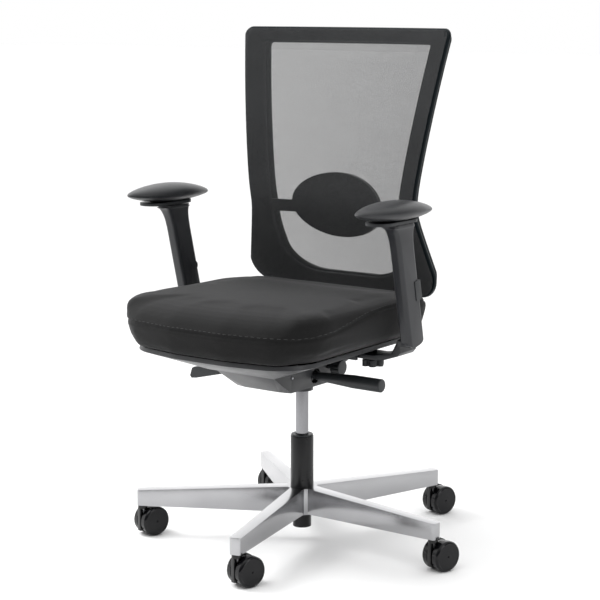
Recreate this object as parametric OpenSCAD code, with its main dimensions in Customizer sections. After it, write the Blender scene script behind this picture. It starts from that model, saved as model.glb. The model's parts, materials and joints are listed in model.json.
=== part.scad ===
// Swivel office chair with a mesh back, a padded seat, height-adjustable
// armrests, a gas lift column and a five-arm base on twin-wheel casters.
// Millimetres. +Z is up, -Y is the front of the chair, the origin is on the
// floor under the column.

/* [Base] */
// distance from the column axis to a caster stem
stem_radius = 350; // [300:1:400]
// distance from the column axis to the tip of a base arm
arm_tip_radius = 361; // [312:1:420]
// compass angle of the first base arm
first_arm_angle = 68.16; // [0:0.5:72]
// top of a base arm where it meets the hub
hub_top = 120; // [115:1:130]
// top of a base arm at its tip
arm_tip_top = 104.5; // [98:0.5:112]
// width of a base arm at its tip
arm_tip_w = 24; // [20:1:34]
// width of a base arm at the hub
arm_root_w = 32; // [26:1:40]

/* [Casters] */
// diameter of a caster wheel
wheel_d = 64.6; // [56:0.2:65]
// width of one caster wheel
wheel_w = 18.5; // [14:0.5:20]
// space between the two wheels of a caster
wheel_gap = 12; // [11:0.5:14]
// how far the axle trails behind the stem
caster_trail = 22; // [18:1:26]
// direction in which the casters trail
trail_angle = 73; // [0:1:359]

/* [Gas lift] */
// diameter of the outer lift tube
tube_d = 50; // [46:1:52]
// top of the outer lift tube
tube_top = 232; // [205:1:240]
// diameter of the sliding pressure cylinder
rod_d = 28; // [26:1:30]

/* [Seat] */
// bottom of the seat cushion
seat_bottom = 459; // [455:1:470]
// height of the crowned cushion
cushion_h = 98; // [80:1:104]
// width of the cushion at its widest
seat_w = 502; // [470:1:506]
// front edge of the cushion
seat_front = -367; // [-380:1:-350]
// rear edge of the cushion
seat_rear = 142; // [120:1:144]

/* [Armrests] */
// sideways position of the foot of an armrest
arm_x = 287.5; // [284:0.5:292]
// forward lean of the armrest
arm_lean = 13.3; // [8:0.1:16]
// outward splay of the armrest
arm_splay = 0.9; // [0:0.1:3]
// depth of the armrest sleeve
sleeve_depth = 56; // [52:1:62]
// thickness of the armrest sleeve
sleeve_thick = 27; // [25:1:30]
// length of an armrest pad
pad_len = 272; // [230:1:284]
// width of an armrest pad
pad_w = 94; // [80:1:104]
// thickness of an armrest pad
pad_h = 37; // [30:1:42]

/* [Back] */
// top edge of the back
back_top = 1101; // [1040:1:1150]
// bottom edge of the back
back_bottom = 530; // [526:1:540]
// half width of the back at its waist before the soft bend
waist_half_w = 211.8; // [205:0.1:225]
// outward slope of the sides above the waist
flare_up = 0.148; // [0.05:0.001:0.16]
// outward slope of the sides below the waist
flare_down = 0.25; // [0.1:0.01:0.3]
// width of a side member
member_w = 46; // [36:1:52]
// height of the top bar
top_bar_h = 31; // [24:1:40]
// height of the bottom bar
bottom_bar_h = 32; // [26:1:40]
// how far the middle of the back lies behind its edges
back_dip = 28; // [15:1:34]
// width of the lumbar pad
lumbar_w = 232; // [180:1:250]
// height of the lumbar pad
lumbar_h = 143; // [110:1:160]

/* [Hidden] */
$fn = 64;
// smallest radial clearance of a turning or sliding fit
fit = 0.05;
// air gap between neighbouring pieces
gap = 0.4;
// thin slab used as a station of a hull
slab = 0.5;

wheel_r = wheel_d / 2;
stem_r = 5.5;
axle_r = 4;
web_w = wheel_gap - 2;
arm_bottom = 70;
hub_bottom = 62;
hub_r = 33;
tube_r = tube_d / 2;
tube_bottom = 30;
rod_r = rod_d / 2;
rod_bottom = 130;
rod_top = 372;
piston_r = 5;
bush_len = 50;

housing_bottom = 333;
housing_top = 405;
shell_bottom = 358;
shell_top = 404;
skirt_z = 406;
cover_pin_y = -136;
cover_pin_z = 391;
housing_half_w = 55;
back_pivot_y = 30;
back_pivot_z = 392;
seat_pivot_y = -90;
seat_pivot_z = 396;
pin_r = 5;
lug_in = 56;
lug_t = 8;

lever_y = -52;
lever_z = 381;
lever_tip = 240;
lever_pivot_x = 64;
lock_y = -52;
lock_z = 386;
lock_slope = 11;
knob_y = -7;
knob_z = 395;

plate_z = 428;
plate_t = 8;
screw_x = 68;
screw_front = -121;
screw_rear = 62;
bracket_z = 427;
bracket_t = 9;
bracket_in = 92;
star_x = 183;

waist_z = 715;
frame_front_t = 12;
frame_rear_t = 14;
outline_steps = 12;

sleeve_top = 716;
sleeve_bottom = 9;
arm_foot_y = -10;
flare_h = 46;
collar_t = 5;
upright_front = -20;
upright_back = 6;
upright_half_t = 7;
button_w = 124;
arm_foot_z = seat_bottom - 2;
arm_top_x = arm_x + (sleeve_top - arm_foot_z) * tan(arm_splay);
arm_top_y = arm_foot_y - (sleeve_top - arm_foot_z) * tan(arm_lean);

// ---- helpers ----

// rod along X between two x positions
module rod_x(x0, x1, r, y, z) {
  translate([x0, y, z])
    rotate([0, 90, 0])
      cylinder(r = r, h = x1 - x0);
}

// profile drawn in the YZ plane and given a width along X
module slice_x(x0, x1) {
  translate([x0, 0, 0])
    rotate([90, 0, 90])
      linear_extrude(x1 - x0)
        children();
}

// rectangle with four equal round corners
module round_rect(x0, y0, x1, y1, r) {
  translate([x0 + r, y0])
    square([x1 - x0 - 2 * r, y1 - y0]);
  translate([x0, y0 + r])
    square([x1 - x0, y1 - y0 - 2 * r]);
  for (x = [x0 + r, x1 - r], y = [y0 + r, y1 - r])
    translate([x, y])
      circle(r);
}

// ---- base ----

// place a child on one of the five base arms
module on_arm(k) {
  rotate([0, 0, first_arm_angle + 72 * (k - 1)])
    children();
}

module base_arm() {
  intersection() {
    rotate([90, 0, 0])
      linear_extrude(60, center = true)
        polygon([[0, hub_bottom], [60, hub_bottom + 2], [arm_tip_radius, arm_bottom],
                 [arm_tip_radius, arm_tip_top], [hub_r, hub_top], [0, hub_top]]);
    linear_extrude(200) {
      polygon([[0, -arm_root_w / 2], [arm_tip_radius - 6, -arm_tip_w / 2],
               [arm_tip_radius - 6, arm_tip_w / 2], [0, arm_root_w / 2]]);
      round_rect(arm_tip_radius - 14, -arm_tip_w / 2, arm_tip_radius, arm_tip_w / 2, 6);
    }
  }
}

module star_base() {
  color("silver")
    difference() {
      union() {
        translate([0, 0, hub_bottom])
          cylinder(r = hub_r, h = hub_top - hub_bottom);
        for (k = [1:5])
          on_arm(k)
            base_arm();
      }
      translate([0, 0, hub_bottom - 1])
        cylinder(r = tube_r + fit, h = hub_top - hub_bottom + 2);
      for (k = [1:5])
        on_arm(k)
          translate([stem_radius, 0, arm_bottom - 5])
            cylinder(r = stem_r + fit, h = 28);
    }
}

module lift_tube() {
  color("black")
    difference() {
      union() {
        translate([0, 0, hub_bottom - 4])
          cylinder(r = tube_r, h = tube_top - hub_bottom + 4);
        translate([0, 0, tube_bottom])
          cylinder(r = tube_r - 5, h = hub_bottom - tube_bottom);
      }
      translate([0, 0, tube_bottom + 4])
        cylinder(r = tube_r - 6.5, h = tube_top);
      translate([0, 0, tube_bottom - 1])
        cylinder(r = piston_r + fit, h = 10);
    }
}

module lift_bush() {
  color("dimgray")
    difference() {
      union() {
        translate([0, 0, tube_top - bush_len])
          cylinder(r = tube_r - 6.5 - fit, h = bush_len);
        translate([0, 0, tube_top + 0.2])
          cylinder(r = tube_r - 1.5, h = 3.5);
        translate([0, 0, tube_top - 1])
          cylinder(r = tube_r - 6.5 - fit, h = 3);
      }
      translate([0, 0, tube_top - bush_len - 1])
        cylinder(r = rod_r + fit, h = bush_len + 10);
    }
}

module piston_rod() {
  color("silver")
    translate([0, 0, tube_bottom - 1])
      cylinder(r = piston_r, h = 122);
}

module lift_clip() {
  color("gray")
    difference() {
      translate([0, 0, tube_bottom - 1.8])
        cylinder(r = 10, h = 1.6);
      translate([0, 0, tube_bottom - 3])
        cylinder(r = piston_r + fit, h = 4);
    }
}

// ---- casters ----

// place a child at the stem of one caster, trailing along +Y of the child
module at_caster(k) {
  on_arm(k)
    translate([stem_radius, 0, 0])
      rotate([0, 0, trail_angle - 90 - first_arm_angle - 72 * (k - 1)])
        children();
}

module caster_hood() {
  color([0.08, 0.08, 0.09])
    difference() {
      union() {
        slice_x(-web_w / 2, web_w / 2)
          intersection() {
            union() {
              translate([caster_trail, wheel_r])
                circle(wheel_r - 2);
              translate([-10, 12])
                square([caster_trail, 51]);
              translate([-3, 12])
                circle(7);
            }
            translate([-60, 12])
              square([120, 50.5]);
          }
        translate([0, 0, 62])
          cylinder(r = 10.5, h = 6.6);
      }
      translate([0, 0, 40])
        cylinder(r = stem_r, h = 40);
      rod_x(-web_w, web_w, axle_r, caster_trail, wheel_r);
    }
}

module caster_steel() {
  color("silver") {
    translate([0, 0, 40])
      cylinder(r = stem_r - 0.01, h = 51);
    rod_x(-wheel_gap / 2 - 9, wheel_gap / 2 + 9, axle_r - 0.01, caster_trail, wheel_r);
  }
}

// half width of the wheel is on the side given by s
module caster_wheel(s) {
  color([0.06, 0.06, 0.07])
    translate([0, caster_trail, wheel_r])
      rotate([0, 90 * s, 0])
        difference() {
          translate([0, 0, wheel_gap / 2])
            rotate_extrude()
              polygon([[0, 0], [wheel_r - 2, 0], [wheel_r, 3], [wheel_r, wheel_w - 4.5],
                       [wheel_r - 2, wheel_w - 1.5], [wheel_r - 4.5, wheel_w - 0.3],
                       [wheel_r - 5.5, wheel_w - 1], [0, wheel_w]]);
          translate([0, 0, -1])
            cylinder(r = axle_r + fit, h = wheel_gap / 2 + 11);
        }
}

module caster_hood_1() { at_caster(1) caster_hood(); }
module caster_hood_2() { at_caster(2) caster_hood(); }
module caster_hood_3() { at_caster(3) caster_hood(); }
module caster_hood_4() { at_caster(4) caster_hood(); }
module caster_hood_5() { at_caster(5) caster_hood(); }
module caster_steel_1() { at_caster(1) caster_steel(); }
module caster_steel_2() { at_caster(2) caster_steel(); }
module caster_steel_3() { at_caster(3) caster_steel(); }
module caster_steel_4() { at_caster(4) caster_steel(); }
module caster_steel_5() { at_caster(5) caster_steel(); }
module wheel_a_1() { at_caster(1) caster_wheel(1); }
module wheel_a_2() { at_caster(2) caster_wheel(1); }
module wheel_a_3() { at_caster(3) caster_wheel(1); }
module wheel_a_4() { at_caster(4) caster_wheel(1); }
module wheel_a_5() { at_caster(5) caster_wheel(1); }
module wheel_b_1() { at_caster(1) caster_wheel(-1); }
module wheel_b_2() { at_caster(2) caster_wheel(-1); }
module wheel_b_3() { at_caster(3) caster_wheel(-1); }
module wheel_b_4() { at_caster(4) caster_wheel(-1); }
module wheel_b_5() { at_caster(5) caster_wheel(-1); }

// ---- lift and tilt mechanism ----

module pressure_cylinder() {
  color("silver")
    difference() {
      translate([0, 0, rod_bottom])
        cylinder(r = rod_r, h = rod_top - rod_bottom);
      translate([0, 0, rod_bottom - 1])
        cylinder(r = piston_r + fit, h = 125);
    }
}

module tilt_housing() {
  color([0.1, 0.1, 0.11])
    difference() {
      union() {
        translate([-housing_half_w, -110, 362])
          cube([2 * housing_half_w, 165, housing_top - 362]);
        translate([0, 0, housing_bottom])
          cylinder(r = 24, h = 40);
        lever_lugs(1, lever_y, lever_z);
        lever_lugs(-1, lock_y, lock_z);
      }
      translate([0, 0, housing_bottom - 1])
        cylinder(r = rod_r + fit, h = rod_top - housing_bottom + 1 + gap);
      rod_x(-70, 70, pin_r + fit, back_pivot_y, back_pivot_z);
      rod_x(-70, 70, pin_r + fit, seat_pivot_y, seat_pivot_z);
      rod_x(36, 70, pin_r + fit, knob_y, knob_z);
      for (p = [[lever_y, lever_z, 1], [lock_y, lock_z, -1]])
        translate([p[2] * lever_pivot_x, p[0] - 20, p[1]])
          rotate([-90, 0, 0])
            cylinder(r = 3 + fit, h = 40);
    }
}

// pair of lugs on one side of the housing that carries a hand lever
module lever_lugs(side, y, z) {
  for (off = [-13, 8])
    translate([side > 0 ? housing_half_w - 1 : -lever_pivot_x - 8, y + off, z - 8])
      cube([lever_pivot_x + 8 - housing_half_w + 1, 5, 16]);
}

// tray-shaped cover under the housing, grown by a margin
module shell_body(grow, top) {
  hull() {
    translate([-71 - grow, -136 - grow, shell_bottom - grow])
      cube([142 + 2 * grow, 174 + 2 * grow, slab]);
    translate([-44 - grow, -143 - grow, shell_bottom - grow])
      cube([88 + 2 * grow, 60, slab]);
    translate([-75 - grow, -205 - grow, top - slab])
      cube([150 + 2 * grow, 243 + 2 * grow, slab]);
  }
}

module housing_shell() {
  color([0.3, 0.3, 0.31])
    difference() {
      shell_body(0, shell_top);
      shell_body(-2.6, shell_top + 1);
      translate([0, 0, shell_bottom - 1])
        cylinder(r = 24.4, h = 20);
      rod_x(50, 100, 16, lever_y, lever_z);
      rod_x(-100, -50, 16, lock_y, lock_z);
      rod_x(60, 100, pin_r + 1, knob_y, knob_z);
      translate([-68, 20, shell_bottom + 3])
        cube([136, 60, 60]);
      for (s = [-1, 1])
        rod_x(s > 0 ? 60 : -90, s > 0 ? 90 : -60, 2.6, cover_pin_y, cover_pin_z);
    }
}

module pivot_pins() {
  color("silver") {
    rod_x(-lug_in - lug_t - 1.5, lug_in + lug_t + 1.5, pin_r, back_pivot_y, back_pivot_z);
    rod_x(-lug_in - lug_t - 1.5, lug_in + lug_t + 1.5, pin_r, seat_pivot_y, seat_pivot_z);
    rod_x(-75.5, 75.5, 2.55, cover_pin_y, cover_pin_z);
    for (p = [[lever_y, lever_z, 1], [lock_y, lock_z, -1]])
      translate([p[2] * lever_pivot_x, p[0] - 14, p[1]])
        rotate([-90, 0, 0])
          cylinder(r = 3, h = 28);
  }
}

module height_lever() {
  color([0.09, 0.09, 0.1])
    difference() {
      union() {
        translate([lever_pivot_x, lever_y - 7.6, lever_z])
          rotate([-90, 0, 0])
            cylinder(r = 7.5, h = 15.2);
        rod_x(lever_pivot_x, lever_pivot_x + 30, 7.4, lever_y, lever_z);
        translate([lever_pivot_x + 16, lever_y, lever_z])
          rotate([0, 90, 0])
            cylinder(r1 = 9, r2 = 14, h = 90);
        rod_x(lever_pivot_x + 106, lever_tip - 1.5, 14, lever_y, lever_z);
        translate([lever_tip - 1.5, lever_y, lever_z])
          rotate([0, 90, 0])
            cylinder(r1 = 14, r2 = 12.5, h = 1.5);
      }
      translate([lever_pivot_x, lever_y - 10, lever_z])
        rotate([-90, 0, 0])
          cylinder(r = 3 + fit, h = 20);
    }
}

module lock_lever() {
  color([0.09, 0.09, 0.1])
    translate([-lever_pivot_x, lock_y, lock_z])
      rotate([0, -lock_slope, 0])
        difference() {
          union() {
            translate([0, -7.6, 0])
              rotate([-90, 0, 0])
                cylinder(r = 7.5, h = 15.2);
            rod_x(-60, 0, 6.5, 0, 0);
            translate([0, 9, 0])
              rotate([90, 0, 0])
                linear_extrude(18)
                  polygon([[-46, -6], [-186, -13], [-200, -12], [-203, -6],
                           [-194, 10], [-187, 12], [-46, 6.5]]);
          }
          translate([0, -10, 0])
            rotate([-90, 0, 0])
              cylinder(r = 3 + fit, h = 20);
        }
}

module tension_knob() {
  color([0.11, 0.11, 0.12]) {
    rod_x(38, 91, pin_r, knob_y, knob_z);
    difference() {
      union() {
        rod_x(90, 109, 17, knob_y, knob_z);
        translate([109, knob_y, knob_z])
          rotate([0, 90, 0])
            cylinder(r1 = 17, r2 = 15.5, h = 1.5);
      }
      for (a = [0:30:330])
        translate([100, knob_y + 18.5 * cos(a), knob_z + 18.5 * sin(a)])
          rotate([0, 90, 0])
            cylinder(r = 2.6, h = 24, center = true);
    }
  }
}

// ---- seat ----

// plan outline of the seat with its sides grown and its ends shifted
module seat_plan(grow, front_shift = 0, rear_shift = 0) {
  half = seat_w / 2 + grow;
  hull() {
    for (s = [-1, 1]) {
      translate([s * (half - 90), seat_front + 102 + front_shift])
        circle(90);
      translate([s * 60, seat_front + 76 + front_shift])
        circle(76);
      translate([s * (half - 58), seat_rear - 50 + grow + rear_shift])
        circle(50);
    }
  }
}

module seat_plate() {
  color([0.13, 0.13, 0.14])
    difference() {
      union() {
        translate([-77, -130, plate_z])
          cube([154, 208, plate_t]);
        for (s = [-1, 1])
          translate([s > 0 ? lug_in : -lug_in - lug_t, seat_pivot_y - 15, seat_pivot_z])
            cube([lug_t, 30, plate_z - seat_pivot_z + 1]);
        for (s = [-1, 1])
          rod_x(s > 0 ? lug_in : -lug_in - lug_t, s > 0 ? lug_in + lug_t : -lug_in,
                15, seat_pivot_y, seat_pivot_z);
      }
      rod_x(-80, 80, pin_r + fit, seat_pivot_y, seat_pivot_z);
      for (x = [-screw_x, screw_x], y = [screw_front, screw_rear])
        translate([x, y, plate_z - 1])
          cylinder(r = 3 + fit, h = plate_t + 2);
    }
}

// boat-shaped pan under the cushion, shrunk by a wall thickness
module pan_body(t) {
  hull() {
    translate([0, 0, seat_bottom - gap - slab + t])
      linear_extrude(slab)
        seat_plan(-36 - t, 22 + t);
    translate([0, 0, seat_bottom - 9])
      linear_extrude(slab)
        seat_plan(-34 - t, 20 + t);
    translate([-84 + t, -212 + t, skirt_z - 3 + t])
      cube([168 - 2 * t, 180, slab]);
    translate([-84 + t, 20, skirt_z + 16 + t])
      cube([168 - 2 * t, 40 - t, slab]);
  }
}

module seat_pan() {
  deck = plate_z + plate_t;
  color([0.36, 0.36, 0.38])
    difference() {
      pan_body(0);
      difference() {
        pan_body(3);
        translate([-300, -400, deck + gap])
          cube([600, 600, 5]);
      }
      translate([-78, -206, 380])
        cube([156, 300, deck + gap - 380]);
      for (s = [0, 1])
        mirror([s, 0, 0]) {
          translate([84.5, -39, 400])
            cube([200, 78.4, deck + gap - 400]);
          translate([76, knob_y - 8, 400])
            cube([20, 16, 13]);
        }
      for (x = [-screw_x, screw_x], y = [screw_front, screw_rear])
        translate([x, y, plate_z])
          cylinder(r = 3 + fit, h = 24);
    }
}

module seat_cushion() {
  color([0.17, 0.17, 0.17])
    hull() {
      translate([0, 0, seat_bottom])
        linear_extrude(slab)
          seat_plan(-30, 17);
      translate([0, 0, seat_bottom + 7])
        linear_extrude(slab)
          seat_plan(-24, 12);
      translate([0, 0, seat_bottom + 42])
        linear_extrude(slab)
          seat_plan(-4);
      translate([0, 0, seat_bottom + 62])
        linear_extrude(slab)
          seat_plan(0, 2);
      translate([0, 0, seat_bottom + 79])
        linear_extrude(slab)
          seat_plan(-3, 14);
      translate([0, 0, seat_bottom + 90])
        linear_extrude(slab)
          seat_plan(-18, 44);
      translate([0, 0, seat_bottom + cushion_h - slab])
        linear_extrude(slab)
          seat_plan(-84, 110);
    }
}

module seat_screws() {
  color("dimgray")
    for (x = [-screw_x, screw_x], y = [screw_front, screw_rear])
      translate([x, y, plate_z - 3.05])
        difference() {
          union() {
            cylinder(r = 6, h = 3);
            cylinder(r = 3, h = 15);
          }
          translate([0, 0, -1])
            cylinder(r = 3.4, h = 3, $fn = 6);
        }
}

module arm_rails() {
  color([0.1, 0.1, 0.11])
    for (s = [-1, 1], y = [-38, 31.5])
      translate([s > 0 ? 100 : -166, y, bracket_z - 4])
        cube([66, 6.5, plate_z + plate_t - bracket_z + 4]);
}

// ---- back ----

// smooth bend between two slopes at height z0
function bend(z, z0, low, up, soft, base) =
  base + (up + low) / 2 * sqrt(pow(z - z0, 2) + soft * soft) + (up - low) / 2 * (z - z0);
// half width of the back at a height
function half_w(z) = bend(z, waist_z, flare_down, flare_up, 20, waist_half_w);
// front face of the back at a point of its outline plane
function back_y(x, z) =
  bend(z, 738, 0.275, 0.085, 30, 92.5) + 0.00021 * pow(max(0, z - 738), 2)
  + back_dip * (1 - pow(x / half_w(z), 2));

// points of a quarter arc from one angle to another
function arc(cx, cz, rx, rz, a0, a1, n) =
  [for (i = [0:n]) let (a = a0 + (a1 - a0) * i / n) [cx + rx * cos(a), cz + rz * sin(a)]];

// straight run of points between two points, ends left out
function run(p, q, n) = [for (i = [1:n - 1]) p + (q - p) * i / n];

// right half of the outer outline, from bottom centre to top centre
function outer_half(grow) =
  let (b = back_bottom - grow, t = back_top + grow, rb = 52, rt = 18,
       wb = half_w(b + rb) + grow, wt = half_w(t - rt) + grow)
  concat(
    [[0, b]],
    run([0, b], [wb - rb, b], 10),
    arc(wb - rb, b + rb, rb, rb, -90, 0, outline_steps),
    [for (i = [1:29]) let (z = b + rb + (t - rt - b - rb) * i / 30) [half_w(z) + grow, z]],
    arc(wt - rt, t - rt, rt, rt, 0, 90, outline_steps),
    run([wt - rt, t], [0, t], 10),
    [[0, t]]);

// right half of the opening, with large swept lower corners
function inner_half(grow) =
  let (b = back_bottom + bottom_bar_h - grow, t = back_top - top_bar_h + grow, rt = 9,
       sx = 100, sz = 72,
       wb = half_w(b + sz) - member_w - 22 + grow, wt = half_w(t - rt) - member_w + grow)
  concat(
    [[0, b]],
    run([0, b], [wb - sx, b], 10),
    arc(wb - sx, b + sz, sx, sz, -90, 0, outline_steps),
    [for (i = [1:29])
       let (z = b + sz + (t - rt - b - sz) * i / 30, k = max(0, 1 - (z - b - sz) / 90))
       [half_w(z) - member_w - 22 * k * k + grow, z]],
    arc(wt - rt, t - rt, rt, rt, 0, 90, outline_steps),
    run([wt - rt, t], [0, t], 10),
    [[0, t]]);

// whole closed outline from its right half
function mirrored(half) =
  concat(half, [for (i = [len(half) - 2:-1:1]) [-half[i][0], half[i][1]]]);

// frame between two outlines, following the bent face of the back
module ring_frame(outer, inner, y0, depth, edge) {
  n = len(outer);
  sec = [[0, edge], [0.3 * edge, 0.3 * edge], [edge, 0], [-edge, 0], [-0.3 * edge, 0.3 * edge],
         [-0.01, edge], [-0.01, depth - edge], [-0.3 * edge, depth - 0.3 * edge],
         [-edge, depth], [edge, depth], [0.3 * edge, depth - 0.3 * edge], [0, depth - edge]];
  m = len(sec);
  pts = [for (i = [0:n - 1], j = [0:m - 1])
    let (d = outer[i] - inner[i], w = norm(d),
         s = sec[j][0] < 0 ? 1 + (sec[j][0] + 0.01) / w : sec[j][0] / w,
         p = inner[i] + d * s)
    [p[0], back_y(p[0], p[1]) + y0 + sec[j][1], p[1]]];
  faces = [for (i = [0:n - 1], j = [0:m - 1])
    let (i2 = (i + 1) % n, j2 = (j + 1) % m)
    each [[i * m + j, i * m + j2, i2 * m + j2], [i * m + j, i2 * m + j2, i2 * m + j]]];
  polyhedron(points = pts, faces = faces);
}

// bent panel inside an outline, built as nested rings around a centre
module bent_panel(outline, centre, y0, depth, rings) {
  n = len(outline);
  pts = concat(
    [[centre[0], back_y(centre[0], centre[1]) + y0, centre[1]]],
    [for (r = [1:rings], i = [0:n - 1])
      let (p = centre + (outline[i] - centre) * r / rings)
      [p[0], back_y(p[0], p[1]) + y0, p[1]]]);
  back = [for (p = pts) [p[0], p[1] + depth, p[2]]];
  c = len(pts);
  faces = concat(
    [for (i = [0:n - 1]) [0, 1 + i, 1 + (i + 1) % n]],
    [for (r = [0:rings - 2], i = [0:n - 1])
      let (a = 1 + r * n + i, b = 1 + r * n + (i + 1) % n)
      each [[a, a + n, b + n], [a, b + n, b]]],
    [for (i = [0:n - 1]) [c, c + 1 + (i + 1) % n, c + 1 + i]],
    [for (r = [0:rings - 2], i = [0:n - 1])
      let (a = c + 1 + r * n + i, b = c + 1 + r * n + (i + 1) % n)
      each [[a, b + n, a + n], [a, b, b + n]]],
    [for (i = [0:n - 1])
      let (a = 1 + (rings - 1) * n + i, b = 1 + (rings - 1) * n + (i + 1) % n)
      each [[a, a + c, b + c], [a, b + c, b]]]);
  polyhedron(points = concat(pts, back), faces = faces);
}

module back_frame_front() {
  color([0.12, 0.15, 0.16])
    ring_frame(mirrored(outer_half(0)), mirrored(inner_half(0)), 0, frame_front_t, 4);
}

module back_frame_rear() {
  color([0.1, 0.12, 0.13])
    ring_frame(mirrored(outer_half(-7)), mirrored(inner_half(-4)),
               frame_front_t + 1.3, frame_rear_t, 4);
}

module back_mesh() {
  color([0.6, 0.6, 0.62])
    bent_panel(mirrored(outer_half(-3)), [0, 800], -2.8, 1.2, 7);
}

module lumbar_pad() {
  color([0.1, 0.12, 0.13])
    bent_panel([for (a = [0:6:354]) [lumbar_w / 2 * cos(a), 719 + lumbar_h / 2 * sin(a)]],
               [0, 719], 1.5, 10, 5);
}

module lumbar_bar() {
  inner = [for (z = [724, 715, 706, 697])
    [0.8 + lumbar_w / 2 * sqrt(1 - pow((z - 719) / (lumbar_h / 2), 2)), z]];
  color([0.1, 0.12, 0.13])
    for (s = [0, 1])
      mirror([s, 0, 0])
        bent_panel(concat(inner, [[168, 697], [168, 724]]), [140, 710], 2, 7, 3);
}

module back_upright() {
  color([0.1, 0.1, 0.11])
    difference() {
      union() {
        for (s = [-1, 1])
          slice_x(s > 0 ? lug_in : -lug_in - lug_t, s > 0 ? lug_in + lug_t : -lug_in) {
            translate([back_pivot_y, back_pivot_z])
              circle(14);
            polygon([[back_pivot_y, 379], [82, 392], [82, 418], [back_pivot_y, 406]]);
          }
        slice_x(-lug_in - lug_t, lug_in + lug_t)
          polygon([[68, 388], [90, 396], [90, 421], [68, 413.5]]);
        slice_x(-36, 36)
          polygon([[72, 392], [150, 402], [188, 408], [210, 420], [223, 446], [227, 552],
                   [222, 558], [207, 558], [204.5, 553], [204.5, 462], [193, 440], [176, 431],
                   [140, 427], [72, 415]]);
      }
      rod_x(-80, 80, pin_r + fit, back_pivot_y, back_pivot_z);
      for (x = [-22, 22])
        translate([x, 190, 545])
          rotate([-90, 0, 0])
            cylinder(r = 3 + fit, h = 60);
    }
}

module back_screws() {
  color("dimgray")
    for (x = [-22, 22])
      translate([x, 202, 545])
        rotate([-90, 0, 0]) {
          cylinder(r = 3, h = 26);
          translate([0, 0, 25.6])
            cylinder(r = 6, h = 3);
        }
}

// ---- armrests ----

// mirror a child to the chosen side, 1 is +X
module side(s) {
  mirror([s > 0 ? 0 : 1, 0, 0])
    children();
}

// frame at the foot of an armrest, splayed outwards
module in_splay() {
  translate([arm_x, arm_foot_y, arm_foot_z])
    rotate([0, arm_splay, 0])
      children();
}

// frame of an armrest sleeve: +Z runs up along the sleeve
module in_arm() {
  in_splay()
    rotate([arm_lean, 0, 0])
      children();
}

module arm_bracket() {
  color([0.1, 0.1, 0.11])
    difference() {
      union() {
        translate([bracket_in, -30, bracket_z])
          cube([120, 60, bracket_t]);
        rotate([90, 0, 0])
          linear_extrude(60, center = true)
            polygon([[200, bracket_z], [230, bracket_z + 3], [262, bracket_z + 14],
                     [269, bracket_z + 22], [269, 476], [263, 476], [247, 445],
                     [200, bracket_z + bracket_t]]);
        in_arm()
          translate([-24, upright_front, sleeve_bottom + 2])
            cube([20, upright_back - upright_front, 12]);
        in_arm()
          translate([-upright_half_t, upright_front, sleeve_bottom + 2])
            cube([2 * upright_half_t, upright_back - upright_front, 205]);
      }
      translate([star_x, 0, bracket_z - 1])
        cylinder(r = 4 + fit, h = bracket_t + 2);
    }
}

module star_knob() {
  color([0.1, 0.1, 0.11])
    translate([star_x, 0, 0]) {
      translate([0, 0, bracket_z - 6])
        cylinder(r = 4, h = 14);
      translate([0, 0, bracket_z - 18])
        difference() {
          union() {
            cylinder(r = 17, h = 13.5);
            for (a = [0:60:300])
              rotate([0, 0, a])
                translate([17, 0, 0])
                  cylinder(r = 7.4, h = 13.5);
            cylinder(r = 10, h = 17.5);
          }
          translate([0, 0, -1])
            cylinder(r = 9, h = 3);
        }
    }
}

// side view of the plain part of the sleeve with its round lower end
module sleeve_side() {
  half_d = sleeve_depth / 2;
  round_rect(-half_d, sleeve_bottom, half_d, 200, 20);
  translate([-half_d, 60])
    square([sleeve_depth, 260]);
}

// one level of the flared top, t runs from 0 at its start to 1 at the collar
module flare_level(t) {
  grow = 1 - sqrt(1 - t * t);
  z = sleeve_top - arm_foot_z - flare_h * (1 - t);
  mid = -z * tan(arm_lean);
  half_d = sleeve_depth / 2 / cos(arm_lean);
  half_t = sleeve_thick / 2 + 3 * grow;
  translate([0, 0, z])
    linear_extrude(slab)
      round_rect(-half_t, mid - half_d - 17 * grow, half_t, mid + half_d + 8 * grow, 9);
}

module sleeve_flare() {
  levels = [0, 0.35, 0.6, 0.8, 0.93, 1];
  for (i = [0:4])
    hull() {
      flare_level(levels[i], $fn = 32);
      flare_level(levels[i + 1], $fn = 32);
    }
}

module arm_sleeve() {
  half_t = sleeve_thick / 2;
  color([0.15, 0.15, 0.16])
    difference() {
      union() {
        intersection() {
          in_arm()
            intersection() {
              slice_x(-half_t, half_t)
                sleeve_side();
              linear_extrude(400)
                round_rect(-half_t, -sleeve_depth / 2, half_t, sleeve_depth / 2, 9);
            }
          translate([0, -300, 0])
            cube([600, 600, sleeve_top]);
        }
        in_splay()
          sleeve_flare();
        translate([arm_top_x, arm_top_y - 4, sleeve_top - 1])
          linear_extrude(collar_t + 1)
            round_rect(-17.5, -42, 17.5, 42, 17);
        in_arm()
          rod_x(-half_t - 1, -half_t + 2, 10.5, 14, button_w);
      }
      in_arm() {
        translate([-upright_half_t - gap, upright_front - gap, -1])
          cube([2 * upright_half_t + 2 * gap, upright_back - upright_front + 2 * gap, 224]);
        translate([-half_t - 2, upright_front - gap, -8])
          cube([half_t, upright_back - upright_front + 2 * gap, 34]);
        translate([half_t - 7.5, 10, button_w - 21])
          cube([20, 30, 42]);
      }
      translate([arm_top_x, arm_top_y, sleeve_top + 1])
        cylinder(r = 7 + fit, h = 10);
    }
}

module arm_button() {
  half_t = sleeve_thick / 2;
  color([0.08, 0.08, 0.09])
    in_arm()
      intersection() {
        translate([half_t - 3.9, 10 + gap, button_w - 21 + gap])
          cube([5.2, sleeve_depth / 2 - 10 + 2.5, 42 - 2 * gap]);
        slice_x(0, 40)
          round_rect(-10, button_w - 21 + gap, sleeve_depth / 2 + 2.9, button_w + 21 - gap, 5);
      }
}

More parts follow.
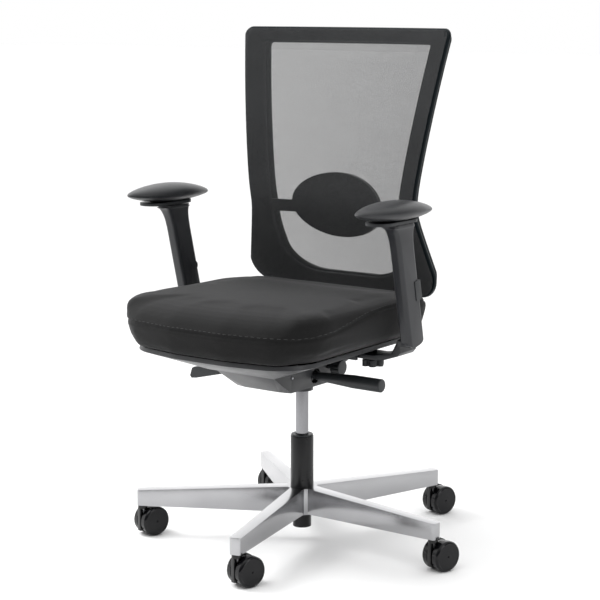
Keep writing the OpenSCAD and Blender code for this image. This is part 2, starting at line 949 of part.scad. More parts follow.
// lens-shaped plan of a pad, shrunk by a margin
module pad_plan(shrink) {
  len_h = pad_len / 2 - shrink;
  wid_h = pad_w / 2 - shrink;
  r = (len_h * len_h + wid_h * wid_h) / (2 * wid_h);
  translate([arm_top_x, arm_top_y - 21])
    intersection() {
      translate([r - wid_h, 0])
        circle(r, $fn = 150);
      translate([wid_h - r, 0])
        circle(r, $fn = 150);
      round_rect(-wid_h, 9 - len_h, wid_h, len_h - 7, 0.62 * wid_h);
    }
}

module arm_pad_base() {
  z0 = sleeve_top + collar_t + gap;
  color([0.1, 0.1, 0.11]) {
    translate([arm_top_x, arm_top_y, sleeve_top + 1.5])
      cylinder(r = 7, h = 8);
    translate([arm_top_x, arm_top_y, z0])
      cylinder(r = 16, h = 4);
    translate([arm_top_x, arm_top_y - 24, z0 + 3.5])
      linear_extrude(6)
        round_rect(-29, -74, 29, 62, 27);
  }
}

module arm_pad() {
  z0 = sleeve_top + collar_t + gap + 9.9;
  color([0.2, 0.2, 0.21])
    hull() {
      translate([0, 0, z0])
        linear_extrude(slab)
          pad_plan(17);
      translate([0, 0, z0 + 0.14 * pad_h])
        linear_extrude(slab)
          pad_plan(6);
      translate([0, 0, z0 + 0.38 * pad_h])
        linear_extrude(slab)
          pad_plan(0);
      translate([0, 0, z0 + 0.62 * pad_h])
        linear_extrude(slab)
          pad_plan(2.5);
      translate([0, 0, z0 + 0.85 * pad_h])
        linear_extrude(slab)
          pad_plan(13);
      translate([0, 0, z0 + pad_h - slab])
        linear_extrude(slab)
          pad_plan(27);
    }
}

module arm_bracket_left() { side(1) arm_bracket(); }
module arm_bracket_right() { side(-1) arm_bracket(); }
module star_knob_left() { side(1) star_knob(); }
module star_knob_right() { side(-1) star_knob(); }
module arm_sleeve_left() { side(1) arm_sleeve(); }
module arm_sleeve_right() { side(-1) arm_sleeve(); }
module arm_button_left() { side(1) arm_button(); }
module arm_button_right() { side(-1) arm_button(); }
module arm_pad_base_left() { side(1) arm_pad_base(); }
module arm_pad_base_right() { side(-1) arm_pad_base(); }
module arm_pad_left() { side(1) arm_pad(); }
module arm_pad_right() { side(-1) arm_pad(); }

star_base();
lift_tube();
lift_bush();
piston_rod();
lift_clip();
caster_hood_1();
caster_steel_1();
wheel_a_1();
wheel_b_1();
caster_hood_2();
caster_steel_2();
wheel_a_2();
wheel_b_2();
caster_hood_3();
caster_steel_3();
wheel_a_3();
wheel_b_3();
caster_hood_4();
caster_steel_4();
wheel_a_4();
wheel_b_4();
caster_hood_5();
caster_steel_5();
wheel_a_5();
wheel_b_5();
pressure_cylinder();
tilt_housing();
housing_shell();
pivot_pins();
height_lever();
lock_lever();
tension_knob();
seat_plate();
seat_pan();
seat_cushion();
seat_screws();
arm_rails();
back_upright();
back_frame_rear();
back_frame_front();
back_mesh();
lumbar_pad();
lumbar_bar();
back_screws();
arm_bracket_left();
star_knob_left();
arm_sleeve_left();
arm_button_left();
arm_pad_base_left();
arm_pad_left();
arm_bracket_right();
star_knob_right();
arm_sleeve_right();
arm_button_right();
arm_pad_base_right();
arm_pad_right();
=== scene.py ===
"""Looks of the swivel office chair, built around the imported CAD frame. Metres."""

import json
import math

import bpy
import numpy as np
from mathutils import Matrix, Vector
from mathutils.bvhtree import BVHTree
from mathutils.kdtree import KDTree


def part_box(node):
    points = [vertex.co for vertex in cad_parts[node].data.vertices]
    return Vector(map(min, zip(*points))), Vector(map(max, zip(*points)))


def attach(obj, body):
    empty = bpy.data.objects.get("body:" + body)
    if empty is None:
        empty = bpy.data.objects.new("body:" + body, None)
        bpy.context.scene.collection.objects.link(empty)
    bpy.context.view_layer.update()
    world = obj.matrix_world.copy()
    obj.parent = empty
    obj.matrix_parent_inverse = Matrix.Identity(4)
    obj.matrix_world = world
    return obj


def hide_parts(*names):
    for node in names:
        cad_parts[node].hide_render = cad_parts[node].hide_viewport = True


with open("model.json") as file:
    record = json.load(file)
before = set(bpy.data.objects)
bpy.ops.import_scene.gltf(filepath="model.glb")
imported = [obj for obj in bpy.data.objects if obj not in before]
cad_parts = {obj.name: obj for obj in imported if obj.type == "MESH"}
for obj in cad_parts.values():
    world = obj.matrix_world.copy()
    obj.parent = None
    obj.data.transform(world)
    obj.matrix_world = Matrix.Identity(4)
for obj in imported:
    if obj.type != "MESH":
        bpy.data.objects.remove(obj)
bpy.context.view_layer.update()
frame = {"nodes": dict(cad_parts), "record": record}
NODES = frame["nodes"]


# ---------------------------------------------------------------- materials


class Shader:
    """A node material with a principled shader and short helpers for its inputs."""

    def __init__(self, name, color, rough, metallic=0.0, **sockets):
        self.mat = bpy.data.materials.new(name)
        self.mat.use_nodes = True
        self.nodes = self.mat.node_tree.nodes
        self.links = self.mat.node_tree.links
        self.bsdf = self.nodes["Principled BSDF"]
        self.coord = self.nodes.new("ShaderNodeTexCoord").outputs["Object"]
        self.set("Base Color", (*color, 1))
        self.set("Roughness", rough)
        self.set("Metallic", metallic)
        for key, value in sockets.items():
            self.set(key.replace("_", " "), value)

    def set(self, socket, value):
        self.bsdf.inputs[socket].default_value = value

    def noise(self, scale, detail=3.0, stretch=(1, 1, 1)):
        """Noise over the object; a stretch below 1 draws it out along that axis."""
        mapping = self.nodes.new("ShaderNodeMapping")
        mapping.inputs["Scale"].default_value = stretch
        self.links.new(self.coord, mapping.inputs["Vector"])
        tex = self.nodes.new("ShaderNodeTexNoise")
        tex.inputs["Scale"].default_value = scale
        tex.inputs["Detail"].default_value = detail
        tex.inputs["Roughness"].default_value = 0.55
        self.links.new(mapping.outputs["Vector"], tex.inputs["Vector"])
        return tex.outputs["Fac"]

    def voronoi(self, scale):
        tex = self.nodes.new("ShaderNodeTexVoronoi")
        tex.inputs["Scale"].default_value = scale
        self.links.new(self.coord, tex.inputs["Vector"])
        return tex.outputs["Distance"]

    def math(self, op, a, b):
        """A math node; each operand is a number or another node's output."""
        node = self.nodes.new("ShaderNodeMath")
        node.operation = op
        for socket, value in zip(node.inputs, (a, b)):
            if isinstance(value, (int, float)):
                socket.default_value = value
            else:
                self.links.new(value, socket)
        return node.outputs[0]

    def ramp(self, fac, low, high, start=0.0, end=1.0):
        """Colours from low to high as the factor goes from start to end."""
        node = self.nodes.new("ShaderNodeValToRGB")
        node.color_ramp.elements[0].position = start
        node.color_ramp.elements[1].position = end
        node.color_ramp.elements[0].color = (*low, 1)
        node.color_ramp.elements[1].color = (*high, 1)
        self.links.new(fac, node.inputs["Fac"])
        return node.outputs["Color"]

    def spread(self, fac, low, high):
        """Stretch a 0 to 1 factor to a range of values."""
        node = self.nodes.new("ShaderNodeMapRange")
        node.inputs["To Min"].default_value = low
        node.inputs["To Max"].default_value = high
        self.links.new(fac, node.inputs["Value"])
        return node.outputs["Result"]

    def drive(self, socket, output):
        self.links.new(output, self.bsdf.inputs[socket])

    def bump(self, height, strength, distance):
        """Add a bump on top of any bump already there."""
        node = self.nodes.new("ShaderNodeBump")
        node.inputs["Strength"].default_value = strength
        node.inputs["Distance"].default_value = distance
        self.links.new(height, node.inputs["Height"])
        last = self.bsdf.inputs["Normal"]
        if last.links:
            self.links.new(last.links[0].from_socket, node.inputs["Normal"])
        self.links.new(node.outputs["Normal"], last)


def moulded(name, color, rough, grain=900.0, depth=0.35, spread=0.12, shine=0.35):
    """Moulded plastic: fine grain, slow colour and gloss variation."""
    s = Shader(name, color, rough, Specular_IOR_Level=shine)
    slow = s.noise(14, 4)
    low = tuple(c * (1 - spread) for c in color)
    high = tuple(c * (1 + spread) for c in color)
    s.drive("Base Color", s.ramp(slow, low, high, 0.3, 0.7))
    s.drive("Roughness", s.spread(s.noise(30, 5), rough - 0.06, rough + 0.08))
    s.bump(s.noise(grain, 2), depth, 0.0001)
    return s.mat


def metal(name, color, rough, streak=(1, 1, 1), depth=0.05):
    """Bare metal with faint tool marks, drawn out along an axis by streak."""
    s = Shader(name, color, rough, 1.0)
    slow = s.noise(22, 4, stretch=streak)
    low = tuple(c * 0.93 for c in color)
    s.drive("Base Color", s.ramp(slow, low, color, 0.3, 0.7))
    s.drive("Roughness", s.spread(s.noise(60, 4, stretch=streak), rough * 0.75, rough * 1.35))
    s.bump(s.noise(180, 3, stretch=streak), depth, 0.0001)
    return s.mat


def cloth_look(name, dark, light, thread=1.0, rough=0.85, sheen=0.10):
    """Upholstery cloth: crossed threads of uneven length, flecks and slow shade changes."""
    s = Shader(name, dark, rough, Sheen_Weight=sheen, Sheen_Roughness=0.4)
    s.set("Sheen Tint", (0.7, 0.7, 0.72, 1))
    s.set("Specular IOR Level", 0.25)
    warp = s.noise(900 / thread, 1, stretch=(1, 0.22, 1))
    weft = s.noise(900 / thread, 1, stretch=(0.22, 1, 1))
    threads = s.math("MAXIMUM", warp, weft)
    fleck = s.noise(420, 2)
    slow = s.noise(9, 4)
    mixed = s.math("ADD", s.math("MULTIPLY", threads, 0.6), s.math("MULTIPLY", fleck, 0.4))
    mixed = s.math("ADD", s.math("MULTIPLY", mixed, 0.8), s.math("MULTIPLY", slow, 0.2))
    s.drive("Base Color", s.ramp(mixed, dark, light, 0.38, 0.68))
    s.drive("Roughness", s.spread(slow, rough - 0.05, rough + 0.07))
    s.bump(threads, 0.5, 0.0004)
    s.bump(s.noise(45, 3), 0.18, 0.0012)
    return s.mat


def polished_aluminium():
    """Cast and polished base: a soft mirror with slow waves from the polishing wheel."""
    s = Shader("polished_aluminium", (0.39, 0.39, 0.40), 0.2, 1.0)
    slow = s.noise(7, 4)
    s.drive("Base Color", s.ramp(slow, (0.34, 0.34, 0.35), (0.43, 0.43, 0.44), 0.3, 0.7))
    s.drive("Roughness", s.spread(s.noise(28, 5), 0.14, 0.30))
    s.bump(s.noise(16, 2), 0.25, 0.0006)
    s.bump(s.noise(420, 2), 0.06, 0.0001)
    return s.mat


def soft_skin():
    """Integral-skin foam of the armrest pads: faint leather-like pebble and a soft gloss."""
    s = Shader("arm_pad_skin", (0.028, 0.029, 0.032), 0.42, Specular_IOR_Level=0.45)
    slow = s.noise(12, 4)
    s.drive("Base Color", s.ramp(slow, (0.009, 0.010, 0.012), (0.017, 0.018, 0.020), 0.3, 0.7))
    s.drive("Roughness", s.spread(s.noise(40, 5), 0.34, 0.50))
    s.bump(s.voronoi(620), 0.22, 0.0002)
    s.bump(s.noise(5, 2), 0.15, 0.002)
    return s.mat


MATERIALS = {
    "polished_aluminium": polished_aluminium(),
    "chrome_rod": metal("chrome_rod", (0.24, 0.24, 0.25), 0.16, (1, 1, 0.05), 0.02),
    "steel": metal("steel", (0.45, 0.45, 0.47), 0.30),
    "black_tube": moulded("black_tube", (0.008, 0.008, 0.009), 0.28, 500, 0.2, shine=0.3),
    "black_plastic": moulded("black_plastic", (0.016, 0.018, 0.020), 0.42),
    "caster_plastic": moulded("caster_plastic", (0.003, 0.003, 0.0035), 0.12, 300, 0.08,
                              shine=0.35),
    "wheel_plastic": moulded("wheel_plastic", (0.003, 0.003, 0.004), 0.18, 300, 0.08, shine=0.28),
    "black_metal": moulded("black_metal", (0.013, 0.014, 0.016), 0.36, 650, 0.3),
    "grey_plastic": moulded("grey_plastic", (0.030, 0.031, 0.033), 0.40),
    "frame_plastic": moulded("frame_plastic", (0.0026, 0.0056, 0.0074), 0.36, 1100, 0.3,
                             shine=0.09),
    "arm_plastic": moulded("arm_plastic", (0.022, 0.023, 0.026), 0.38, 1000, 0.3),
    "seat_fabric": cloth_look("seat_fabric", (0.0018, 0.0018, 0.0019), (0.0065, 0.0065, 0.0065),
                              sheen=0.16),
    "mesh_fabric": cloth_look("mesh_fabric", (0.026, 0.027, 0.028), (0.070, 0.071, 0.073)),
    "arm_pad_skin": soft_skin(),
    "thread": cloth_look("thread", (0.020, 0.020, 0.020), (0.060, 0.060, 0.060), 0.6),
}


# Nodes whose edges are already smooth in the CAD model, by the start of their names.
SMOOTH_NODES = ("back_frame", "back_mesh", "lumbar", "arm_pad_l", "arm_pad_r", "seat_cushion")
EDGE_ROUNDING = 0.0006
WIDER_ROUNDING = {"star_base": 0.0012, "housing_shell": 0.0015, "height_lever": 0.001}


def finish_cad_nodes():
    """Give every CAD node its slot's material and softly rounded edges."""
    slots = {p["node"]: p["material_slot"] for p in frame["record"]["subparts"]}
    for name, obj in NODES.items():
        obj.data.materials.clear()
        obj.data.materials.append(MATERIALS[slots[name]])
        weld = obj.modifiers.new("weld", "WELD")
        weld.merge_threshold = 0.00002
        if not name.startswith(SMOOTH_NODES):
            bevel = obj.modifiers.new("bevel", "BEVEL")
            bevel.width = WIDER_ROUNDING.get(name, EDGE_ROUNDING)
            bevel.segments = 3
            bevel.limit_method = "ANGLE"
            bevel.angle_limit = math.radians(34)
        obj.data.shade_smooth()
        smooth = obj.modifiers.new("angle", "NODES")
        smooth.node_group = smooth_group()


def smooth_group():
    """Geometry nodes group that shades smooth below a 32 degree edge angle."""
    if "smooth_by_edge" in bpy.data.node_groups:
        return bpy.data.node_groups["smooth_by_edge"]
    g = bpy.data.node_groups.new("smooth_by_edge", "GeometryNodeTree")
    g.interface.new_socket("Geometry", in_out="INPUT", socket_type="NodeSocketGeometry")
    g.interface.new_socket("Geometry", in_out="OUTPUT", socket_type="NodeSocketGeometry")
    start = g.nodes.new("NodeGroupInput")
    end = g.nodes.new("NodeGroupOutput")
    angle = g.nodes.new("GeometryNodeInputMeshEdgeAngle")
    less = g.nodes.new("FunctionNodeCompare")
    less.data_type = "FLOAT"
    less.operation = "LESS_THAN"
    less.inputs["B"].default_value = math.radians(32)
    shade = g.nodes.new("GeometryNodeSetShadeSmooth")
    shade.domain = "EDGE"
    g.links.new(angle.outputs["Unsigned Angle"], less.inputs["A"])
    g.links.new(start.outputs["Geometry"], shade.inputs["Geometry"])
    g.links.new(less.outputs["Result"], shade.inputs["Shade Smooth"])
    g.links.new(shade.outputs["Geometry"], end.inputs["Geometry"])
    return g


# ---------------------------------------------------------------- mesh helpers


def new_mesh(name, verts, faces, material):
    """A smooth-shaded object in the scene, with its material."""
    mesh = bpy.data.meshes.new(name)
    mesh.from_pydata([tuple(v) for v in verts], [], faces)
    mesh.validate()
    mesh.update()
    mesh.shade_smooth()
    mesh.materials.append(MATERIALS[material])
    obj = bpy.data.objects.new(name, mesh)
    bpy.context.scene.collection.objects.link(obj)
    return obj


def subdivide(obj):
    """Smooth a mesh by one level of subdivision."""
    mod = obj.modifiers.new("subdivision", "SUBSURF")
    mod.levels = 1
    mod.render_levels = 1


def read_points(mesh):
    """A mesh's vertices as rows of an array."""
    flat = np.empty(len(mesh.vertices) * 3)
    mesh.vertices.foreach_get("co", flat)
    return flat.reshape(-1, 3)


def write_points(mesh, points):
    """Move a mesh's vertices to the rows of an array."""
    mesh.vertices.foreach_set("co", points.astype(np.float32).ravel())
    mesh.update()
    mesh.shade_smooth()


def convex(points):
    """Corners of the convex hull of plan points, anticlockwise."""
    pts = sorted(set(map(tuple, points)))

    def half(seq):
        out = []
        for p in seq:
            while len(out) > 1 and ((out[-1][0] - out[-2][0]) * (p[1] - out[-2][1])
                                    - (out[-1][1] - out[-2][1]) * (p[0] - out[-2][0])) <= 0:
                out.pop()
            out.append(p)
        return out[:-1]

    return np.array(half(pts) + half(pts[::-1]))


def rounded_outline(circles, centre, count):
    """The convex outline round some circles, sampled at equal angles about a centre."""
    pts = []
    for x, y, r in circles:
        for a in np.linspace(0, 2 * math.pi, 96, endpoint=False):
            pts.append((round(x + r * math.cos(a), 6), round(y + r * math.sin(a), 6)))
    hull = convex(pts)
    start, run = hull, np.roll(hull, -1, axis=0) - hull
    out = []
    for a in np.linspace(0, 2 * math.pi, count, endpoint=False):
        ray = np.array((math.cos(a), math.sin(a)))
        den = ray[0] * run[:, 1] - ray[1] * run[:, 0]
        den = np.where(abs(den) < 1e-12, 1e-12, den)
        off = start - np.array(centre)
        far = (off[:, 0] * run[:, 1] - off[:, 1] * run[:, 0]) / den
        share = (off[:, 0] * ray[1] - off[:, 1] * ray[0]) / den
        hit = far[(far > 0) & (share >= -1e-9) & (share <= 1 + 1e-9)]
        out.append(np.array(centre) + ray * hit.max())
    return np.array(out)


def stacked(rings, bottom, top):
    """Closed mesh from rings of equal count, with a point at each end."""
    n = len(rings[0])
    verts = [bottom]
    for ring in rings:
        verts.extend(ring)
    verts.append(top)
    faces = []
    last = len(verts) - 1
    for i in range(n):
        j = (i + 1) % n
        faces.append((0, 1 + j, 1 + i))
        for r in range(len(rings) - 1):
            a = 1 + r * n
            faces.append((a + i, a + j, a + n + j, a + n + i))
        a = 1 + (len(rings) - 1) * n
        faces.append((a + i, a + j, last))
    return verts, faces


# ---------------------------------------------------------------- seat cushion

SEAT_CENTRE = (0.0, -0.10)
SEAT_FRONT, SEAT_REAR, SEAT_HALF = -0.367, 0.142, 0.251
SEAT_BOTTOM, SEAT_CROWN = 0.4605, 0.557
CUSHION_MIDDLE = (*SEAT_CENTRE, 0.49)
# Radii of the circles that the outline runs round: front corners, slight bow, rear corners.
FRONT_CORNER, FRONT_BOW, REAR_CORNER = 0.1175, 0.076, 0.050
SEAM_POINTS = 720
SEAM_DEPTH, SEAM_WIDTH = 0.0030, 0.0032
# Seam points from one stitch to the next; a stitch runs through all of these but the last.
STITCH_STEP = 5
STITCH_RADIUS = 0.00055
# Where the stitches lie: in from the seam and up from it.
STITCH_IN, STITCH_UP = 0.004, 0.0055
# What the cloth pass holds still: this high above the foot, and this near the seam.
HELD_FOOT, HELD_SEAM = 0.012, 0.005
CLOTH_FRAMES = 20
# The cushion's edge in section: distance in from the outline and height, bottom to top.
SIDE_SECTION = ((0.0360, 0.4605), (0.0345, 0.4625), (0.0245, 0.4700), (0.0165, 0.4770),
                (0.0100, 0.4850), (0.0075, 0.4950), (0.0050, 0.5050), (0.0030, 0.5150),
                (0.0008, 0.5250), (0.0000, 0.5330), (0.0012, 0.5400), (0.0040, 0.5460),
                (0.0095, 0.5508), (0.0180, 0.5542), (0.0300, 0.5560), (0.0450, 0.5566))
FRONT_SECTION = ((0.0180, 0.4605), (0.0170, 0.4625), (0.0120, 0.4700), (0.0085, 0.4770),
                 (0.0055, 0.4850), (0.0025, 0.4950), (0.0005, 0.5030), (0.0000, 0.5110),
                 (0.0015, 0.5180), (0.0050, 0.5260), (0.0110, 0.5340), (0.0200, 0.5408),
                 (0.0330, 0.5468), (0.0500, 0.5515), (0.0720, 0.5548), (0.0980, 0.5566))


def ease(x):
    """Smooth step from 0 to 1."""
    x = np.clip(x, 0, 1)
    return x * x * (3 - 2 * x)


def seat_outline(count=300):
    """Plan outline of the cushion where it is widest."""
    circles = []
    for s in (-1, 1):
        circles.append((s * (SEAT_HALF - FRONT_CORNER), SEAT_FRONT + 0.1295, FRONT_CORNER))
        circles.append((s * 0.060, SEAT_FRONT + FRONT_BOW, FRONT_BOW))
        circles.append((s * (SEAT_HALF - 0.056), SEAT_REAR - REAR_CORNER, REAR_CORNER))
    return rounded_outline(circles, SEAT_CENTRE, count)


def seam_height(y):
    """Height of the seam between the side band and the top panel."""
    return 0.512 + 0.030 * ease((y - SEAT_FRONT - 0.03) / 0.30) - 0.008 * ease((y - 0.02) / 0.12)


def rear_drop(y):
    """How much lower the cushion is towards its rear edge."""
    return 0.010 * ease(y / 0.14)


def crown_height(x, y):
    """Height of the top panel away from its edge: lower at the rear, and slightly dished."""
    dish = math.exp(-((x / 0.13) ** 2 + ((y + 0.01) / 0.11) ** 2))
    return SEAT_CROWN - rear_drop(y) - 0.002 * dish


def seat_rings(edge):
    """Rings of the cover from its foot over the edge to the middle of the top."""
    ahead, back = np.roll(edge, -1, axis=0), np.roll(edge, 1, axis=0)
    along = ahead - back
    normal = np.stack([along[:, 1], -along[:, 0]], axis=1)
    normal /= np.linalg.norm(normal, axis=1, keepdims=True)
    front = ease((-normal[:, 1] - 0.62) / 0.33)
    rings = []
    for (side_in, side_z), (front_in, front_z) in zip(SIDE_SECTION, FRONT_SECTION):
        inset = side_in + (front_in - side_in) * front
        z = side_z + (front_z - side_z) * front
        xy = edge - normal * inset[:, None]
        z = z - rear_drop(xy[:, 1]) * (z - SEAT_BOTTOM) / (SEAT_CROWN - SEAT_BOTTOM)
        rings.append(np.column_stack([xy, z]))
    last, centre = rings[-1], np.array(SEAT_CENTRE)
    for share in (0.93, 0.85, 0.76, 0.66, 0.56, 0.46, 0.36, 0.26, 0.17, 0.08):
        xy = centre + (last[:, :2] - centre) * share
        top = np.array([crown_height(x, y) for x, y in xy])
        rings.append(np.column_stack([xy, last[:, 2] + (top - last[:, 2]) * ease((1 - share) * 3)]))
    return rings


def seam_line(rings):
    """The seam's points, where the cover's section passes the seam height."""
    line = []
    edge_rings = rings[:len(SIDE_SECTION)]
    for i in range(len(rings[0])):
        for low, high in zip(edge_rings, edge_rings[1:]):
            z = seam_height(low[i][1])
            if low[i][2] <= z < high[i][2]:
                share = (z - low[i][2]) / (high[i][2] - low[i][2])
                line.append(low[i] + (high[i] - low[i]) * share)
                break
    return line


def seat_cushion():
    """The upholstered seat: an even mesh, inflated as cloth, with a seam and its stitches."""
    rings = seat_rings(seat_outline())
    cx, cy = SEAT_CENTRE
    verts, faces = stacked([list(map(tuple, r)) for r in rings], (cx, cy, SEAT_BOTTOM),
                           (cx, cy, crown_height(cx, cy)))
    obj = new_mesh("seat_cushion_cover", verts, faces, "seat_fabric")
    seam = seam_line(seat_rings(seat_outline(SEAM_POINTS)))
    remesh_cover(obj)
    cloth_pass(obj, seam)
    press_seam(obj, seam)
    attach(obj, "seat")
    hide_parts("seat_cushion")
    seat_stitches(obj, seam)


def nearest_gaps(points, line):
    """Distance from each point to the nearest point of a line."""
    tree = KDTree(len(line))
    for i, p in enumerate(line):
        tree.insert(p, i)
    tree.balance()
    return np.array([tree.find(p)[2] for p in points])


def remesh_cover(obj, voxel=0.006):
    """Replace the cover's mesh by an even one."""
    remesh = obj.modifiers.new("remesh", "REMESH")
    remesh.mode = "VOXEL"
    remesh.voxel_size = voxel
    graph = bpy.context.evaluated_depsgraph_get()
    mesh = bpy.data.meshes.new_from_object(obj.evaluated_get(graph))
    obj.modifiers.remove(remesh)
    obj.data = mesh
    mesh.materials.clear()
    mesh.materials.append(MATERIALS["seat_fabric"])


def cloth_pass(obj, seam, limit=0.0022):
    """Inflate the cover a little as cloth, held at its foot and along the seam."""
    mesh = obj.data
    start = read_points(mesh)
    group = obj.vertex_groups.new(name="held")
    held = (start[:, 2] < SEAT_BOTTOM + HELD_FOOT) | (nearest_gaps(start, seam) < HELD_SEAM)
    group.add([int(i) for i in np.flatnonzero(held)], 1.0, "REPLACE")
    cloth = obj.modifiers.new("cloth", "CLOTH")
    cloth.settings.quality = 5
    cloth.settings.mass = 0.3
    cloth.settings.tension_stiffness = 15
    cloth.settings.compression_stiffness = 15
    cloth.settings.shear_stiffness = 8
    cloth.settings.bending_stiffness = 4.0
    cloth.settings.use_pressure = True
    cloth.settings.uniform_pressure_force = 4
    cloth.settings.shrink_min = 0.004
    cloth.settings.vertex_group_mass = "held"
    cloth.settings.effector_weights.gravity = 0
    cloth.collision_settings.use_collision = False
    cloth.point_cache.frame_start = 1
    cloth.point_cache.frame_end = CLOTH_FRAMES
    scene = bpy.context.scene
    for frame_number in range(1, CLOTH_FRAMES + 1):
        scene.frame_set(frame_number)
    graph = bpy.context.evaluated_depsgraph_get()
    moved = read_points(obj.evaluated_get(graph).data)
    obj.modifiers.remove(cloth)
    scene.frame_set(1)
    shift = moved - start
    length = np.linalg.norm(shift, axis=1, keepdims=True)
    shift *= np.minimum(1, limit / np.maximum(length, 1e-9))
    write_points(mesh, start + shift)


def press_seam(obj, seam):
    """Smooth the cover once and pull it in along the seam line."""
    subdivide(obj)
    graph = bpy.context.evaluated_depsgraph_get()
    mesh = bpy.data.meshes.new_from_object(obj.evaluated_get(graph))
    obj.modifiers.clear()
    old = obj.data
    obj.data = mesh
    bpy.data.meshes.remove(old)
    points = read_points(mesh)
    inward = np.array(CUSHION_MIDDLE) - points
    inward /= np.linalg.norm(inward, axis=1, keepdims=True)
    gap = nearest_gaps(points, seam)
    pull = SEAM_DEPTH * np.exp(-(gap / SEAM_WIDTH) ** 2)
    write_points(mesh, points + inward * pull[:, None])


def seat_stitches(cover, seam):
    """A row of stitches just above the seam, laid on the cover's own surface."""
    tree = BVHTree.FromObject(cover, bpy.context.evaluated_depsgraph_get())
    cx, cy = SEAT_CENTRE
    verts, faces = [], []
    for start in range(0, len(seam) - STITCH_STEP, STITCH_STEP):
        line = []
        for x, y, z in seam[start:start + STITCH_STEP - 1]:
            pull = 1 - STITCH_IN / math.hypot(x - cx, y - cy)
            beside = Vector((cx + (x - cx) * pull, cy + (y - cy) * pull, z + STITCH_UP))
            line.append(tree.find_nearest(beside)[:2])
        tube(verts, faces, line, STITCH_RADIUS)
    obj = new_mesh("seat_stitches", verts, faces, "thread")
    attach(obj, "seat")


def tube(verts, faces, line, radius, sides=6):
    """A closed tube along a short line of (point, normal) pairs."""
    base = len(verts)
    n = len(line)
    for i, (p, normal) in enumerate(line):
        ahead = line[min(i + 1, n - 1)][0] - line[max(i - 1, 0)][0]
        across = ahead.cross(normal).normalized()
        thick = radius * (0.6 if i in (0, n - 1) else 1.0)
        for k in range(sides):
            a = 2 * math.pi * k / sides
            verts.append(p + across * thick * math.cos(a) + normal * thick * math.sin(a))
    for i in range(n - 1):
        for k in range(sides):
            j = (k + 1) % sides
            o = base + sides * i
            faces.append((o + k, o + j, o + sides + j, o + sides + k))
    faces.append(tuple(base + k for k in reversed(range(sides))))
    faces.append(tuple(base + sides * (n - 1) + k for k in range(sides)))


# ---------------------------------------------------------------- armrest pads

PAD_CENTRE_Y, PAD_HALF_LENGTH = -0.0915, 0.131
PAD_HALF_WIDTH, PAD_HALF_HEIGHT, PAD_HEIGHT = 0.0470, 0.0200, 0.749
PAD_SIDES, PAD_SECTIONS = 56, 73


def pad_section(v):
    """Half width, half height and middle height of a pad, v from -1 (front) to 1 (rear)."""
    tip = math.sqrt(max(1 - (max(abs(v) - 0.85, 0) / 0.15) ** 2, 0))
    half_w = PAD_HALF_WIDTH * (1 - (0.94 * v) ** 2) ** 0.9 * tip
    half_h = PAD_HALF_HEIGHT * (1 - 0.86 * v * v) * tip
    middle = PAD_HEIGHT + (0.002 if v < 0 else -0.008) * v * v
    return half_w, half_h, middle


def arm_pad(word):
    """One lens-shaped pad, built from sections along its length."""
    low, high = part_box("arm_pad_" + word)
    cx = (low.x + high.x) / 2
    cy, half_l = PAD_CENTRE_Y, PAD_HALF_LENGTH
    angles = np.linspace(0, 2 * math.pi, PAD_SIDES, endpoint=False)
    rings = []
    for v in np.sin(np.linspace(-1.54, 1.54, PAD_SECTIONS)):
        half_w, half_h, middle = pad_section(v)
        ring = []
        for a in angles:
            c, s = math.cos(a), math.sin(a)
            x = half_w * math.copysign(abs(c) ** 0.92, c)
            z = half_h * (abs(s) ** 0.95 if s > 0 else -abs(s) ** 1.05)
            ring.append((cx + x, cy + half_l * v, middle + z))
        rings.append(ring)
    verts, faces = stacked(rings, (cx, cy - half_l, pad_section(-1)[2]),
                           (cx, cy + half_l, pad_section(1)[2]))
    obj = new_mesh("arm_pad_skin_" + word, verts, faces, "arm_pad_skin")
    subdivide(obj)
    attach(obj, "pad_" + word)
    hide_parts("arm_pad_" + word)


# ---------------------------------------------------------------- back net

BACK_BOTTOM, BACK_TOP = 0.530, 1.101
NET_PITCH, NET_WIDTH, NET_DEPTH = 0.0014, 0.00050, 0.0003
# Along y, from the frame's front face to the level threads, and from those to the upright ones.
NET_OFFSET, WEAVE_OFFSET = -0.0022, -0.00035
NET_MARGIN = 0.004
LEVEL_POINTS, UPRIGHT_POINTS = 25, 48


def bend(z, z0, low, up, soft, base):
    """Two slopes, low below z0 and up above it, joined by a soft bend."""
    d = z - z0
    return base + (up + low) / 2 * np.sqrt(d * d + soft * soft) + (up - low) / 2 * d


def half_width(z):
    """Half width of the back frame in the CAD model."""
    return bend(z, 0.715, 0.25, 0.148, 0.020, 0.2118)


def back_face(x, z):
    """Front face of the back frame in the CAD model."""
    dip = 0.028 * (1 - (x / half_width(z)) ** 2)
    return bend(z, 0.738, 0.275, 0.085, 0.030, 0.0925) + 0.21 * max(0, z - 0.738) ** 2 + dip


def net_half(z):
    """Half width of the net at a height, with its rounded corners."""
    inset, low_r, top_r = 0.0036, 0.049, 0.015
    half = half_width(z) - inset
    low, high = BACK_BOTTOM + inset, BACK_TOP - inset
    if z < low + low_r:
        half = half_width(low + low_r) - inset
        d = low + low_r - z
        half -= low_r - math.sqrt(max(low_r ** 2 - d * d, 0))
    elif z > high - top_r:
        d = z - (high - top_r)
        half -= top_r - math.sqrt(max(top_r ** 2 - d * d, 0))
    return half


